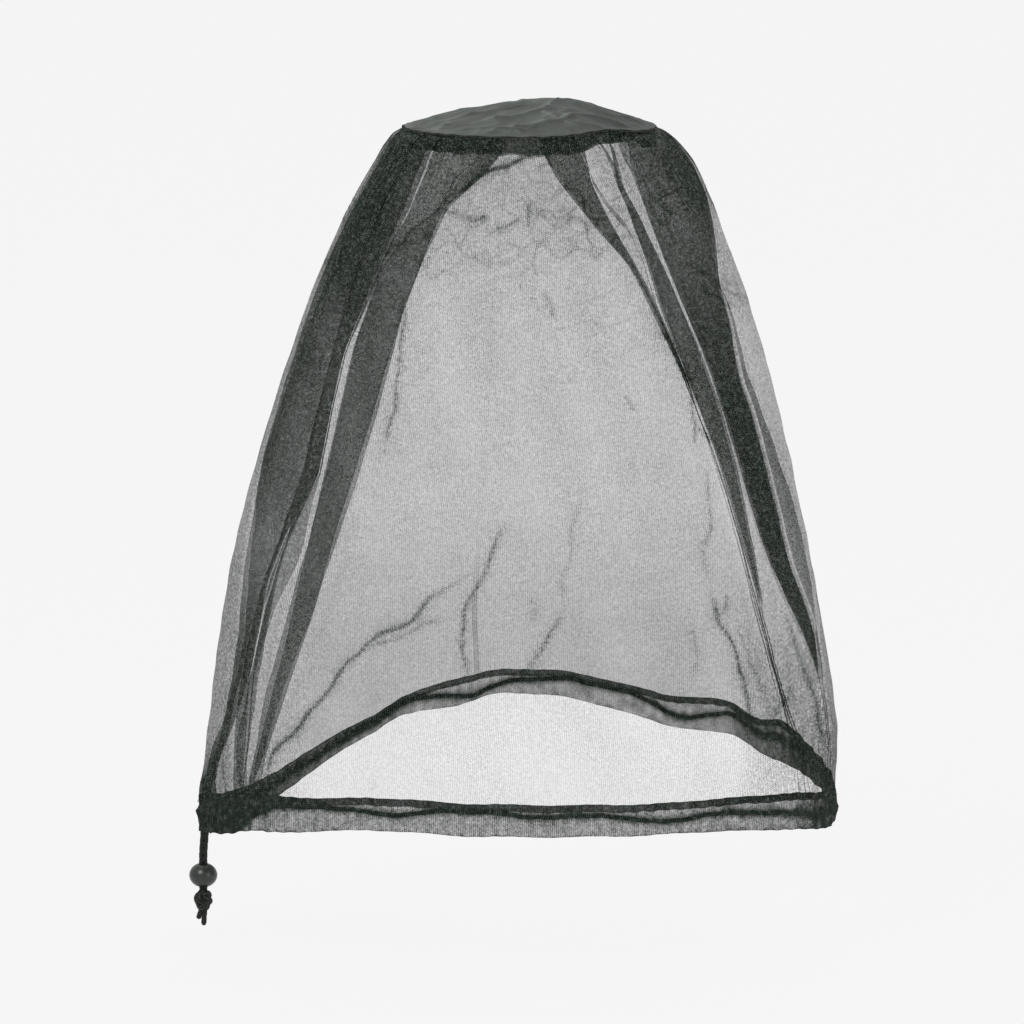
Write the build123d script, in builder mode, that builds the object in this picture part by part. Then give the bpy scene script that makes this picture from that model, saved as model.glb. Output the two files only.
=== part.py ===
"""Pull-over mesh head veil for beekeeping.

A woven crown disc carries a bell-shaped net that is pleated into the crown seam.
The net ends in a turned hem casing with a drawcord inside.  Both ends of the cord
leave the casing at the -X end, pass through a ball and are tied in one knot.

Origin: centre of the crown's flat underside.  +Z up, the face side looks along -Y,
the cord hangs at the -X end.  Millimetres.
"""

from build123d import *
import math
import os

os.makedirs("parts", exist_ok=True)

# ---------------------------------------------------------------- driving sizes
# Crown disc
crown_radius = 81.0
crown_rise = 21.0
crown_cloth = 1.0
seat_outer_radius = 76.5
seat_inner_radius = 69.0
seam_height = 1.0  # level of the crown seam above the seat face

# Net bell: half width and half depth grow from the crown to the hem
hem_half_width = 209.0
hem_half_depth = 125.0
hem_centre_x = -7.7
corner_level = -459.0  # bottom of the casing at the two side corners
front_rise = 17.0  # how far the casing climbs from the corners to the front centre
back_rise = 71.0  # and to the back centre
back_fullness = 2.4  # exponent of the back arch at mid width
net_thickness = 0.8
oval_bias = 0.001  # keeps the round top section of the bell an oval like the others

# Seam allowance turned down inside the crown edge
allowance_radius = 78.7
allowance_thickness = 1.2
allowance_drop = 15.0

# Hem casing, the turned edge on its head side and the stitching on its outside
casing_height = 21.0
casing_thickness = 6.0
casing_wall = 0.6
casing_gap = 1.2  # slack between the net's lower edge and the casing
turned_edge_height = 7.0
turned_edge_thickness = 0.8
thread_thickness = 0.6
sewing_clearance = 0.2

# Drawcord, ball and knot
cord_radius = 1.5
cord_pitch = 3.1  # centre distance of the two cord runs
cord_bend_radius = 9.0
ball_radius = 9.2
ball_height = 14.4
ball_hole_radius = 3.25
pivot_drop = 4.0  # swing centre of the cords below the casing
ball_drop = 26.5  # centre of the ball below the swing centre
knot_radius = 6.8
knot_height = 15.5
knot_core_share = 0.55  # core radius as a share of the knot's
turn_radius = 1.9  # one flattened turn of the doubled cord
knot_turns = ((-4.4, 18), (-1.2, -24), (1.8, 22), (4.6, -14))  # height, tilt in degrees
tail_lengths = (4.0, 8.5)
tail_splays = (24, 3)  # degrees from plumb
tail_spread = 1.7

# ------------------------------------------------------------------ shape of the bell


def bell_share(level):
    """Share of the growth from crown width to hem width at a level below the crown."""
    depth = min(max(level / corner_level, 0.0), 1.0)
    return depth ** 0.58 * (1 + 0.13 * math.sin(math.pi * depth))


def bell_half_width(level):
    return crown_radius + (hem_half_width - crown_radius) * bell_share(level)


def bell_half_depth(level):
    return crown_radius + (hem_half_depth - crown_radius) * bell_share(level)


def bell_centre_x(level):
    return hem_centre_x * level / corner_level


def hem_level(x, y):
    """Bottom of the casing: low at the corners, arched at the back, fuller towards +X."""
    across = (x - hem_centre_x) / hem_half_width
    depth = min(abs(y) / hem_half_depth, 1.0)
    if y < 0:
        return corner_level + front_rise * depth * (2 - depth)
    return corner_level + back_rise * depth ** (back_fullness * math.exp(-0.8 * across))


def hem_point(angle, inset=0.0, lift=0.0):
    """Point of the hem at an angle from +X, moved inwards and upwards."""
    x = hem_centre_x + (hem_half_width - inset) * math.cos(angle)
    y = (hem_half_depth - inset) * math.sin(angle)
    return (x, y, hem_level(x, y) + lift)


def upright_plane(curve, x_dir=(0, 1, 0)):
    """Section plane at the start of a curve, square to it."""
    return Plane(origin=curve @ 0, x_dir=x_dir, z_dir=curve % 0)


# -------------------------------------------------------- where the cord leaves
exit_x = hem_centre_x - hem_half_width + casing_thickness / 2
pivot_level = corner_level - pivot_drop
cord_end_level = pivot_level + cord_radius + 0.05
bend_start_level = corner_level + 1.0
ball_level = pivot_level - ball_drop
knot_top = ball_level - ball_height / 2 - 1.5
knot_bottom = knot_top - knot_height
knot_centre = (knot_top + knot_bottom) / 2


def cord_bend(side):
    """Quarter turn from the exit up into the casing; side is -1 in front, 1 behind."""
    points = []
    for turn in (30, 60, 90):
        y = cord_pitch / 2 + cord_bend_radius * (1 - math.cos(math.radians(turn)))
        inset = casing_thickness / 2
        across = math.sqrt(1 - (y / (hem_half_depth - inset)) ** 2)
        x = hem_centre_x - (hem_half_width - inset) * across
        z = bend_start_level + cord_bend_radius * math.sin(math.radians(turn))
        points.append((x, side * y, z))
    return points


def cord_loop(steps=28):
    """The cord's way round the casing, from in front of the exit to behind it."""
    gap = 0.2  # radians left open on each side of the exit
    first = math.pi + gap
    way = 2 * (math.pi - gap)
    lift = bend_start_level + cord_bend_radius - corner_level
    return [
        hem_point(first + way * step / steps, casing_thickness / 2, lift)
        for step in range(steps + 1)
    ]


# ------------------------------------------------------------------------- crown
dome_rise = crown_rise - 2 * seam_height
dome_radius = (crown_radius ** 2 + dome_rise ** 2) / (2 * dome_rise)
inner_rise = crown_rise - crown_cloth
inner_radius = (seat_inner_radius ** 2 + inner_rise ** 2) / (2 * inner_rise)

with BuildPart() as crown_panel:
    with BuildSketch(Plane.XZ):
        with BuildLine():
            Polyline(
                (seat_inner_radius, 0),
                (seat_outer_radius, 0),
                (seat_outer_radius, seam_height),
                (crown_radius, seam_height),
                (crown_radius, 2 * seam_height),
            )
            RadiusArc((crown_radius, 2 * seam_height), (0, crown_rise), -dome_radius)
            Line((0, crown_rise), (0, inner_rise))
            RadiusArc((0, inner_rise), (seat_inner_radius, 0), inner_radius)
        make_face()
    revolve(axis=Axis.Z)
crown_panel.part.label = "crown_panel"
export_step(crown_panel.part, "parts/crown_panel.step")

# Raw edges of net and crown cloth, turned down inside the seam.
with BuildPart() as crown_seam_allowance:
    with BuildSketch(Plane.XY.offset(seam_height - allowance_drop)):
        Circle(allowance_radius)
        Circle(allowance_radius - allowance_thickness, mode=Mode.SUBTRACT)
    extrude(amount=allowance_drop)
crown_seam_allowance.part.label = "crown_seam_allowance"
export_step(crown_seam_allowance.part, "parts/crown_seam_allowance.step")

# Thread run round the crown seam, lying on the net.
thread_radius = thread_thickness / 2
crown_thread_radius = crown_radius + sewing_clearance + thread_thickness
with BuildPart() as crown_stitching:
    with BuildSketch(Plane.XZ):
        with Locations((crown_thread_radius, 2 * seam_height - thread_radius)):
            Circle(thread_radius)
    revolve(axis=Axis.Z)
crown_stitching.part.label = "crown_stitching"
export_step(crown_stitching.part, "parts/crown_stitching.step")

# ---------------------------------------------------------------------- net bell
bell_levels = [
    seam_height, -14.0, -32.0, -60.0, -100.0, -150.0, -205.0, -265.0, -330.0, -395.0, -459.0
]
below_hem = 150.0  # deep enough to cut off everything under the hem surface

# Closing seam
seam_width = 5.0
seam_thickness = 0.8
seam_angle = math.radians(99)
seam_inset = 2.2  # clears the net on its head side
seam_levels = [-16.0, -40.0, -75.0, -120.0, -175.0, -235.0, -300.0, -364.0]


def seam_point(level):
    """Point of the closing seam, which runs down the back a little towards -X."""
    return (
        bell_centre_x(level) + (bell_half_width(level) - seam_inset) * math.cos(seam_angle),
        (bell_half_depth(level) - seam_inset) * math.sin(seam_angle),
        level,
    )


def hem_surface(lift):
    """Smooth surface that follows the casing's bottom edge, raised by a lift."""
    reach = 1.15
    across = [hem_half_width * reach * step / 4 for step in range(-4, 5)]
    along = [hem_half_depth * reach * step / 6 for step in range(-6, 7)]
    return Face.make_surface_from_array_of_points(
        [
            [
                Vector(hem_centre_x + x, y, hem_level(hem_centre_x + x, y) + lift)
                for x in across
            ]
            for y in along
        ]
    )


with BuildPart() as veil_mesh:
    for level in bell_levels:
        with BuildSketch(Plane.XY.offset(level)):
            with Locations((bell_centre_x(level), 0)):
                Ellipse(bell_half_width(level), bell_half_depth(level) - oval_bias)
    loft()
    for level in bell_levels:
        with BuildSketch(Plane.XY.offset(level)):
            with Locations((bell_centre_x(level), 0)):
                Ellipse(
                    bell_half_width(level) - net_thickness,
                    bell_half_depth(level) - net_thickness - oval_bias,
                )
    loft(mode=Mode.SUBTRACT)
    extrude(
        hem_surface(casing_height + casing_gap),
        amount=below_hem,
        dir=(0, 0, -1),
        mode=Mode.SUBTRACT,
    )
veil_mesh.part.label = "veil_mesh"
export_step(veil_mesh.part, "parts/veil_mesh.step")

# Overlocked seam that closes the net into a tube, on its inside at the back.
with BuildPart() as closing_seam:
    with BuildLine() as seam_line:
        Spline(*[seam_point(level) for level in seam_levels])
    with BuildSketch(upright_plane(seam_line.line, (1, 0, 0))):
        Rectangle(seam_width, seam_thickness)
    sweep(path=seam_line.line)
closing_seam.part.label = "closing_seam"
export_step(closing_seam.part, "parts/closing_seam.step")

# --------------------------------------------------------------------------- hem
hem_floor = corner_level - 10
hem_reach = back_rise + casing_height + 30
tunnel_width = casing_thickness - 2 * casing_wall
exit_slot_width = 2 * cord_radius + 1.0
exit_slot_length = 2 * cord_pitch + 1.4


def oval_ring(outer_inset, inner_inset):
    """Flat ring between two ovals inside the hem's outline, in the current sketch."""
    with Locations((hem_centre_x, 0)):
        Ellipse(hem_half_width - outer_inset, hem_half_depth - outer_inset)
        Ellipse(
            hem_half_width - inner_inset, hem_half_depth - inner_inset, mode=Mode.SUBTRACT
        )


# Space inside the casing, where the drawcord runs.
with BuildPart() as casing_tunnel:
    extrude(hem_surface(casing_wall), amount=casing_height - 2 * casing_wall, dir=(0, 0, 1))
    with BuildSketch(Plane.XY.offset(hem_floor)):
        oval_ring(casing_wall, casing_wall + tunnel_width)
    extrude(amount=hem_reach, mode=Mode.INTERSECT)

# Net folded into a flat tunnel, with a slot in its bottom where the cord leaves.
with BuildPart() as hem_casing:
    extrude(hem_surface(0), amount=casing_height, dir=(0, 0, 1))
    with BuildSketch(Plane.XY.offset(hem_floor)):
        oval_ring(0, casing_thickness)
    extrude(amount=hem_reach, mode=Mode.INTERSECT)
    add(casing_tunnel.part, mode=Mode.SUBTRACT)
    with Locations((exit_x, 0, corner_level)):
        Box(exit_slot_width, exit_slot_length, 6, mode=Mode.SUBTRACT)
hem_casing.part.label = "hem_casing"
export_step(hem_casing.part, "parts/hem_casing.step")

# Raw edge of the casing, turned and laid against its head side at the top.
edge_inset = casing_thickness + sewing_clearance
with BuildPart() as hem_turned_edge:
    extrude(
        hem_surface(casing_height - turned_edge_height),
        amount=turned_edge_height,
        dir=(0, 0, 1),
    )
    with BuildSketch(Plane.XY.offset(hem_floor)):
        oval_ring(edge_inset, edge_inset + turned_edge_thickness)
    extrude(amount=hem_reach, mode=Mode.INTERSECT)
hem_turned_edge.part.label = "hem_turned_edge"
export_step(hem_turned_edge.part, "parts/hem_turned_edge.step")

# Thread of the casing seam on the outside.
with BuildPart() as hem_stitching:
    extrude(
        hem_surface(casing_height - turned_edge_height),
        amount=thread_thickness,
        dir=(0, 0, 1),
    )
    with BuildSketch(Plane.XY.offset(hem_floor)):
        oval_ring(-sewing_clearance - thread_thickness, -sewing_clearance)
    extrude(amount=hem_reach, mode=Mode.INTERSECT)
hem_stitching.part.label = "hem_stitching"
export_step(hem_stitching.part, "parts/hem_stitching.step")

# Cord loop inside the casing; both ends turn down side by side at the exit.
with BuildPart() as drawcord:
    with BuildLine() as cord_line:
        Spline(
            (exit_x, -cord_pitch / 2, cord_end_level),
            (exit_x, -cord_pitch / 2, bend_start_level),
            *cord_bend(-1),
            *cord_loop(),
            *reversed(cord_bend(1)),
            (exit_x, cord_pitch / 2, bend_start_level),
            (exit_x, cord_pitch / 2, cord_end_level),
        )
    with BuildSketch(upright_plane(cord_line.line, (1, 0, 0))):
        Circle(cord_radius)
    sweep(path=cord_line.line)
drawcord.part.label = "drawcord"
export_step(drawcord.part, "parts/drawcord.step")

# ----------------------------------------------------------------- hanging cords
with BuildPart() as pendant_cords:
    with Locations(
        (exit_x, -cord_pitch / 2, pivot_level),
        (exit_x, cord_pitch / 2, pivot_level),
    ):
        Sphere(cord_radius)
        Cylinder(
            cord_radius,
            pivot_level - knot_top,
            align=(Align.CENTER, Align.CENTER, Align.MAX),
        )
pendant_cords.part.label = "pendant_cords"
export_step(pendant_cords.part, "parts/pendant_cords.step")

# Slightly flattened ball, bored through and eased at both mouths.
ball_half_axis = ball_height / 2 + 0.9  # before the two ends are cut flat
mouth_round = 0.6
with BuildPart() as cord_ball:
    with BuildSketch(Plane.XZ.shift_origin((exit_x, 0, ball_level))):
        with BuildLine():
            EllipticalCenterArc(
                (0, 0), ball_radius, ball_half_axis, start_angle=-90, arc_size=180
            )
            Line((0, -ball_half_axis), (0, ball_half_axis))
        make_face()
        Rectangle(2 * ball_radius, ball_height, mode=Mode.INTERSECT)
    revolve(axis=Axis((exit_x, 0, 0), (0, 0, 1)))
    with Locations((exit_x, 0, ball_level)):
        Cylinder(ball_hole_radius, ball_height, mode=Mode.SUBTRACT)
    mouths = cord_ball.edges().filter_by(GeomType.CIRCLE).filter_by(
        lambda edge: abs(edge.radius - ball_hole_radius) < 0.01
    )
    fillet(mouths, mouth_round)
cord_ball.part.label = "cord_ball"
export_step(cord_ball.part, "parts/cord_ball.step")

# Overhand knot, pulled tight: slanted turns stacked round a core.
with BuildPart() as cord_knot:
    with Locations((exit_x, 0, knot_centre)):
        Cylinder(knot_radius * knot_core_share, knot_height)
    for rise, tilt in knot_turns:
        with Locations(Location((exit_x, 0, knot_centre + rise), (tilt, tilt / 2, 0))):
            Torus(knot_radius - turn_radius, turn_radius)
    with Locations((exit_x, 0, knot_centre)):
        Box(4 * knot_radius, 4 * knot_radius, knot_height, mode=Mode.INTERSECT)
cord_knot.part.label = "cord_knot"
export_step(cord_knot.part, "parts/cord_knot.step")

# Free ends below the knot, splayed a little, of unequal length.
with BuildPart() as cord_tails:
    for side, length, splay in zip((-1, 1), tail_lengths, tail_splays):
        with Locations(
            Location(
                (exit_x + side * tail_spread, side * 0.4, knot_bottom - 0.9), (0, splay, 0)
            )
        ):
            Cylinder(
                cord_radius, length, align=(Align.CENTER, Align.CENTER, Align.MAX)
            )
cord_tails.part.label = "cord_tails"
export_step(cord_tails.part, "parts/cord_tails.step")
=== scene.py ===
"""Beekeeping veil: pleated see-through net, woven crown, cased hem, drawcord and cord ball.

Metres, in the CAD frame: origin at the crown's underside, +Z up, the face side towards -Y.
Places round the veil are given by an azimuth in degrees: 0 at the front centre, +90 at the
+X side, 180 at the back.  Heights on the net are shares of the way from crown (0) to hem (1).
"""

import math

import bpy
import numpy as np
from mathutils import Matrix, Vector
from mathutils.kdtree import KDTree


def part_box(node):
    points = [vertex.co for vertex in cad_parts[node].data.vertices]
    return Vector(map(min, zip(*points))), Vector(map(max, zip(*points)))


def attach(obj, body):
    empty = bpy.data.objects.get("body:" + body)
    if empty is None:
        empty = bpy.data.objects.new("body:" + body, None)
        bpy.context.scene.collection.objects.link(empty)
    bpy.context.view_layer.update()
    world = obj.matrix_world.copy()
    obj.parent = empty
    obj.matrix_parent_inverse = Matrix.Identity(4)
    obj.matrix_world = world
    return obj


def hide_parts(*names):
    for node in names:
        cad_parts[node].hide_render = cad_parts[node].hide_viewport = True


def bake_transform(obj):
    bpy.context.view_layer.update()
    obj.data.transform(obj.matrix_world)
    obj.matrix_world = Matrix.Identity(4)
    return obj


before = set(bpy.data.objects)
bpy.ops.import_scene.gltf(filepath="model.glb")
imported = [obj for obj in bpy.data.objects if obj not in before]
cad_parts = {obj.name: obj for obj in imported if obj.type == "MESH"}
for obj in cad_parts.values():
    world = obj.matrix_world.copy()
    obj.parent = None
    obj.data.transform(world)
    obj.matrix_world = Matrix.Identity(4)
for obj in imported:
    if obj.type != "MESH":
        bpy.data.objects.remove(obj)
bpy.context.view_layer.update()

MM = 0.001
SEED = 11
SLUB_AND_GLINT_SQUEEZE = (1, 0.4, 1)  # specks of uneven yarn and painted thread glints are longest from front to back

# ----------------------------------------------------------------- sizes from the frame
crown_low, crown_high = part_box("crown_panel")
casing_low, casing_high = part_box("hem_casing")
ball_low, ball_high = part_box("cord_ball")
knot_low, knot_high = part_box("cord_knot")
tails_low, tails_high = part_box("cord_tails")
cords_low, cords_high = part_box("pendant_cords")

CROWN_RADIUS = (crown_high.x - crown_low.x) / 2
CROWN_RISE = crown_high.z
SEAM_Z = 1 * MM
HEM_HALF_WIDTH = (casing_high.x - casing_low.x) / 2
HEM_HALF_DEPTH = (casing_high.y - casing_low.y) / 2
HEM_X = (casing_high.x + casing_low.x) / 2
CORNER_Z = casing_low.z
EXIT_X = (cords_low.x + cords_high.x) / 2


# ------------------------------------------------------------------------ small helpers
def smooth(x, low, high):
    """0 before low, 1 after high, with soft ends."""
    share = np.clip((np.asarray(x, float) - low) / (high - low), 0, 1)
    return share * share * (3 - 2 * share)


def wrap(azimuth):
    return (np.asarray(azimuth, float) + 180) % 360 - 180


def waves(seed, count, low, high):
    """A smooth random function of one variable, about -1 to 1, from a few sines."""
    draw = np.random.default_rng(SEED + seed)
    rates = draw.uniform(low, high, count)
    phases = draw.uniform(0, 2 * math.pi, count)
    return lambda x: sum(np.sin(r * x + p) for r, p in zip(rates, phases)) / count ** 0.5


def ripples(seed, count, size, stretch=(1.0, 1.0)):
    """A smooth random function of two lengths, about -1 to 1, with features of a given size."""
    draw = np.random.default_rng(SEED + seed)
    angles = draw.uniform(0, math.pi, count)
    rates = 2 * math.pi / (size * draw.uniform(0.7, 1.6, count))
    phases = draw.uniform(0, 2 * math.pi, count)

    def height(x, y):
        total = 0
        for angle, rate, phase in zip(angles, rates, phases):
            along = x * stretch[0] * math.cos(angle) + y * stretch[1] * math.sin(angle)
            total = total + np.sin(rate * along + phase)
        return total / count ** 0.5

    return height


def read(table, place):
    """Value at a place, from a list of (place, value)."""
    return np.interp(place, *zip(*table))


def soften(line, mode):
    """An evenly sampled line with its corners rounded; mode is np.pad's way past the ends."""
    reach = 7
    kernel = np.hanning(2 * reach + 1)
    return np.convolve(np.pad(line, reach, mode=mode), kernel / kernel.sum(), mode="valid")


def curve_through(points, step):
    """Dense Catmull-Rom path through a few points, evenly stepped."""
    points = np.asarray(points, float)
    padded = np.vstack([2 * points[0] - points[1], points, 2 * points[-1] - points[-2]])
    share = np.linspace(0, 1, 24, endpoint=False)[:, None]
    runs = []
    for a, b, c, d in zip(padded, padded[1:], padded[2:], padded[3:]):
        bend = (2 * a - 5 * b + 4 * c - d) * share ** 2 + (3 * b - a - 3 * c + d) * share ** 3
        runs.append(0.5 * (2 * b + (c - a) * share + bend))
    dense = np.vstack(runs + [points[-1:]])
    distance = np.concatenate([[0], np.cumsum(np.linalg.norm(np.diff(dense, axis=0), axis=1))])
    even = np.linspace(0, distance[-1], max(4, int(distance[-1] / step)))
    return np.stack([np.interp(even, distance, dense[:, k]) for k in range(3)], -1)


def new_object(name, points, faces, material, smooth_shade=True):
    mesh = bpy.data.meshes.new(name)
    mesh.from_pydata([tuple(p) for p in points], [], [tuple(f) for f in faces])
    mesh.polygons.foreach_set("use_smooth", [smooth_shade] * len(mesh.polygons))
    mesh.materials.append(material)
    mesh.update()
    piece = bpy.data.objects.new(name, mesh)
    bpy.context.scene.collection.objects.link(piece)
    return piece


def grid_faces(rows, columns, wrap_rows=False, wrap_columns=False):
    """Quads of a rows x columns grid of points stored row after row."""
    last_row = rows if wrap_rows else rows - 1
    last_column = columns if wrap_columns else columns - 1
    r, c = np.meshgrid(np.arange(last_row), np.arange(last_column), indexing="ij")
    r2, c2 = (r + 1) % rows, (c + 1) % columns
    quads = [r * columns + c, r * columns + c2, r2 * columns + c2, r2 * columns + c]
    return np.stack(quads, -1).reshape(-1, 4)


def add_attribute(piece, name, values, kind="FLOAT"):
    attribute = piece.data.attributes.new(name, kind, "POINT")
    field = "vector" if kind == "FLOAT_VECTOR" else "value"
    attribute.data.foreach_set(field, np.asarray(values, np.float32).ravel())


def cloth_piece(name, points, faces, material, u, v, cover):
    """A piece of net, with the three attributes that net_material reads.

    'cloth' runs along the cloth, for its knit.  'slub' is the place where the cloth rests,
    for its uneven yarn and its painted thread glints; it moves with the cloth.  'cover' is
    the thread's share of it.
    """
    piece = new_object(name, points.reshape(-1, 3), faces, material)
    shape = points.shape[:2]
    cloth = np.zeros(points.shape)
    cloth[..., 0], cloth[..., 1] = u, v
    add_attribute(piece, "cloth", cloth, "FLOAT_VECTOR")
    add_attribute(piece, "slub_and_glint", points.astype(np.float32) * SLUB_AND_GLINT_SQUEEZE, "FLOAT_VECTOR")
    add_attribute(piece, "cover", np.broadcast_to(cover, shape))
    return piece


def dress(piece, node, body=None):
    """Hide the CAD node that a piece stands for, and attach the piece to the body it rides, if any.
    """
    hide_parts(node)
    if body:
        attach(piece, body)


# ------------------------------------------------------------------- shape of the bell
# How far the bell's middle leans sideways at a height, both in millimetres.
BELL_LEAN = [
    (-459, -7.7), (-430, -7.5), (-390, -5), (-280, -5), (-215, -3), (-140, -1.5), (-75, -1),
    (-45, 1), (-20, 2.5), (0, 0), (10, 0),
]

# The hem in front and behind, in millimetres, by azimuth from that side's middle towards +X:
# the casing's bottom edge, its height, and how far below its top the cord runs.
FRONT_EDGE = [
    (-90, -459), (-80, -457), (-66, -453), (-57, -448), (-50, -447), (-36, -442), (-28, -440),
    (0, -442), (40, -443), (60, -448), (72, -452), (80, -453), (90, -449),
]
FRONT_HEIGHT = [
    (-90, 24), (-50, 24), (-36, 21), (-10, 21), (30, 20), (60, 24), (78, 24), (90, 18),
]
FRONT_CORD = [
    (-90, 12), (-60, 7), (-38, 5.5), (-22, 11), (-13, 5), (-5, 5), (1, 8), (8, 7), (16, 7),
    (28, 12.5), (37, 9), (54, 12), (68, 15), (90, 11),
]
BACK_EDGE = [
    (-90, -459), (-75, -459), (-58, -457), (-50, -451), (-41, -435), (-28, -414), (-23, -403),
    (-18, -400), (-11, -397), (-4, -389), (8, -390), (20, -401), (29, -409), (44, -411),
    (52, -424), (66, -430), (76, -438), (90, -449),
]
BACK_HEIGHT = [
    (-90, 24), (-70, 16), (-47, 17), (-38, 14), (-24, 11), (-12, 19), (-4, 16), (20, 19), (40, 23),
    (48, 20), (57, 29), (69, 22), (90, 18),
]
BACK_CORD = [
    (-90, 12), (-60, 9), (-36, 7), (-20, 4), (-8, 15), (-2, 8), (10, 5), (22, 5), (33, 15),
    (45, 7), (57, 13), (69, 9), (90, 11),
]


def hem_course(front, back):
    """A smooth function of azimuth from a front and a back list, in metres."""
    points = front + [(180 - turn, value) for turn, value in back[:0:-1]][1:]
    azimuths, values = zip(*points)
    fine = np.arange(-180, 180, 0.5)
    soft = soften(np.interp(fine, azimuths, values, period=360), "wrap") * MM
    return lambda azimuth: np.interp(azimuth, fine, soft, period=360)


hem_bottom = hem_course(FRONT_EDGE, BACK_EDGE)
casing_height = hem_course(FRONT_HEIGHT, BACK_HEIGHT)
cord_depth = hem_course(FRONT_CORD, BACK_CORD)


def bell_share(z):
    """How far the bell has widened at a height: 0 at the crown, 1 at the hem's corners."""
    depth = np.clip(z / CORNER_Z, 0, 1)
    return depth ** 0.58 * (1 + 0.13 * np.sin(np.pi * depth))


def bell_point(azimuth, z, out=0.0):
    """Points of the net's surface at an azimuth in degrees, moved outwards by out."""
    psi = np.radians(azimuth)
    share = bell_share(z)
    half_width = CROWN_RADIUS + (HEM_HALF_WIDTH - CROWN_RADIUS) * share
    half_depth = CROWN_RADIUS + (HEM_HALF_DEPTH - CROWN_RADIUS) * share
    nx, ny = np.sin(psi) / half_width, -np.cos(psi) / half_depth
    length = np.hypot(nx, ny)
    lean = read(BELL_LEAN, np.asarray(z) / MM) * MM
    x = lean + half_width * np.sin(psi) + out * nx / length
    y = -half_depth * np.cos(psi) + out * ny / length
    return np.stack(np.broadcast_arrays(x, y, z), -1)


# --------------------------------------------------------------------------- materials
class Nodes:
    """Short-hand for building a node tree."""

    def __init__(self, name):
        self.material = bpy.data.materials.new(name)
        self.material.use_nodes = True
        self.tree = self.material.node_tree
        self.tree.nodes.clear()

    def add(self, kind, inputs=(), **settings):
        node = self.tree.nodes.new(kind)
        for key, value in settings.items():
            setattr(node, key, value)
        for key, value in dict(inputs).items():
            if isinstance(value, bpy.types.NodeSocket):
                self.tree.links.new(value, node.inputs[key])
            else:
                node.inputs[key].default_value = value
        return node

    def math(self, operation, a, b=0.0, c=0.0, clamp=False):
        node = self.add("ShaderNodeMath", {0: a, 1: b, 2: c}, operation=operation)
        node.use_clamp = clamp
        return node.outputs[0]

    def attribute(self, name, output="Fac"):
        return self.add("ShaderNodeAttribute", attribute_name=name).outputs[output]

    def place(self):
        return self.add("ShaderNodeTexCoord").outputs["Object"]

    def noise(self, vector, scale, detail=2.0, roughness=0.5):
        node = self.add(
            "ShaderNodeTexNoise",
            {"Vector": vector, "Scale": scale, "Detail": detail, "Roughness": roughness},
        )
        return node.outputs["Fac"]

    def ramp(self, value, stops):
        node = self.add("ShaderNodeValToRGB", {"Fac": value})
        elements = node.color_ramp.elements
        while len(elements) < len(stops):
            elements.new(0.5)
        for element, (place, color) in zip(elements, stops):
            element.position = place
            element.color = (*color, 1)
        return node.outputs["Color"]

    def bump(self, height, strength, distance):
        node = self.add(
            "ShaderNodeBump", {"Height": height, "Strength": strength, "Distance": distance}
        )
        return node.outputs["Normal"]

    def surface(self, inputs):
        return self.add("ShaderNodeBsdfPrincipled", inputs).outputs[0]

    def output(self, shader):
        self.add("ShaderNodeOutputMaterial", {"Surface": shader})
        return self.material


THREAD_DARK = (0.0035, 0.0065, 0.0045)
THREAD_LIGHT = (0.014, 0.021, 0.015)
# painted highlight: the pale colour of specks that stand in for glints of light on the thread
THREAD_GLINT = (0.105, 0.125, 0.108)
WALE_PITCH = 1.36 * MM  # columns of the knit
COURSE_PITCH = 1.45 * MM  # rows of the knit
SEEN_THROUGH = 0.3  # what is left of the knit's pattern on layers behind the nearest
LEAST_FACING = 0.35  # a slanting layer looks denser, up to this much face-on
MOST_COVER = 0.97
WEAVE_PITCH = 0.55 * MM  # of the crown's cloth


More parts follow.
